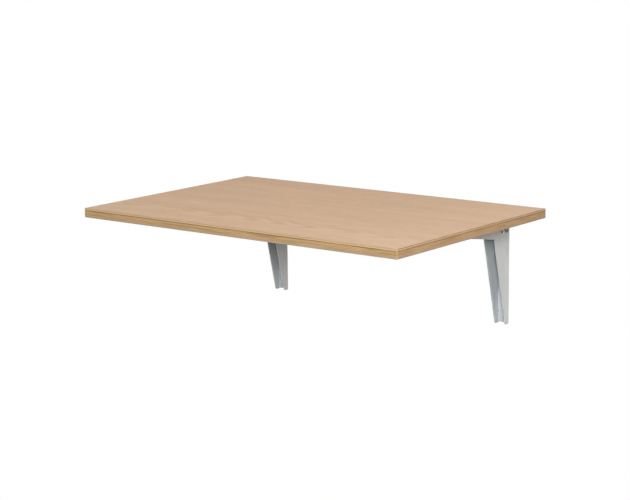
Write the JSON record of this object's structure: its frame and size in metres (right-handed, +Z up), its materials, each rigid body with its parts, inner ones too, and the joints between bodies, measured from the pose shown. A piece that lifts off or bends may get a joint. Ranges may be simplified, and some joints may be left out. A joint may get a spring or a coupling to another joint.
{
  "type": "drop leaf table",
  "caption": "Wall-mounted drop leaf table: a laminated rectangular top on two folding sheet-steel brackets with sliding level locks",
  "frame": {"origin": "On the wall plane, midway between the middle wall-screw holes of the two channels, which is the centre of the wall-screw pattern", "axes": "+X to the right along the wall seen from the room, +Y into the wall, +Z up; the leaf reaches into the room toward -Y"},
  "size_m": [0.9, 0.605, 0.288],
  "materials": {
    "oak_laminate": "matt oak-look laminate, fine grain along X",
    "oak_edging": "satin oak-look edging strip, grain along its length",
    "board": "raw particle board, hidden inside the laminates",
    "silver_paint": "satin silver-grey powder coat",
    "zinc_plate": "bright zinc plate",
    "spring_steel": "oiled spring wire",
    "grey_nylon": "matt moulded nylon",
    "rubber": "matt black rubber"
  },
  "bodies": {
    "wall_brackets": {"left_wall_channel": "silver_paint", "right_wall_channel": "silver_paint", "left_pivot_pin": "zinc_plate", "right_pivot_pin": "zinc_plate", "left_pin_spacer": "grey_nylon", "right_pin_spacer": "grey_nylon"},
    "leaf": {"leaf_core": "board", "top_laminate": "oak_laminate", "underside_laminate": "oak_laminate", "front_edging": "oak_edging", "rear_edging": "oak_edging", "left_edging": "oak_edging", "right_edging": "oak_edging", "left_arm": "silver_paint", "right_arm": "silver_paint", "left_arm_screws": "zinc_plate", "right_arm_screws": "zinc_plate", "left_pivot_bushes": "grey_nylon", "right_pivot_bushes": "grey_nylon", "left_rest_pad": "rubber", "right_rest_pad": "rubber", "left_lock_spring": "spring_steel", "right_lock_spring": "spring_steel"},
    "left_lock": {"left_lock_bar": "zinc_plate", "left_lock_slider": "zinc_plate"},
    "right_lock": {"right_lock_bar": "zinc_plate", "right_lock_slider": "zinc_plate"}
  },
  "joints": [
    {"name": "leaf_swing", "type": "hinge", "parent": "wall_brackets", "child": "leaf", "pos_m": [0, -0.038, 0.119], "axis": [1, 0, 0], "range_deg": [0, 90]},
    {"name": "left_lock_slide", "type": "slide", "parent": "leaf", "child": "left_lock", "axis": [0, -1, 0], "range_m": [0, 0.0062], "deforming": ["left_lock_spring"]},
    {"name": "right_lock_slide", "type": "slide", "parent": "leaf", "child": "right_lock", "axis": [0, -1, 0], "range_m": [0, 0.0062], "deforming": ["right_lock_spring"]}
  ],
  "couplings": [
    {"joint": "left_lock_slide", "follows": "leaf_swing", "m_per_rad": 0.0038197},
    {"joint": "right_lock_slide", "follows": "leaf_swing", "m_per_rad": 0.0038197}
  ]
}
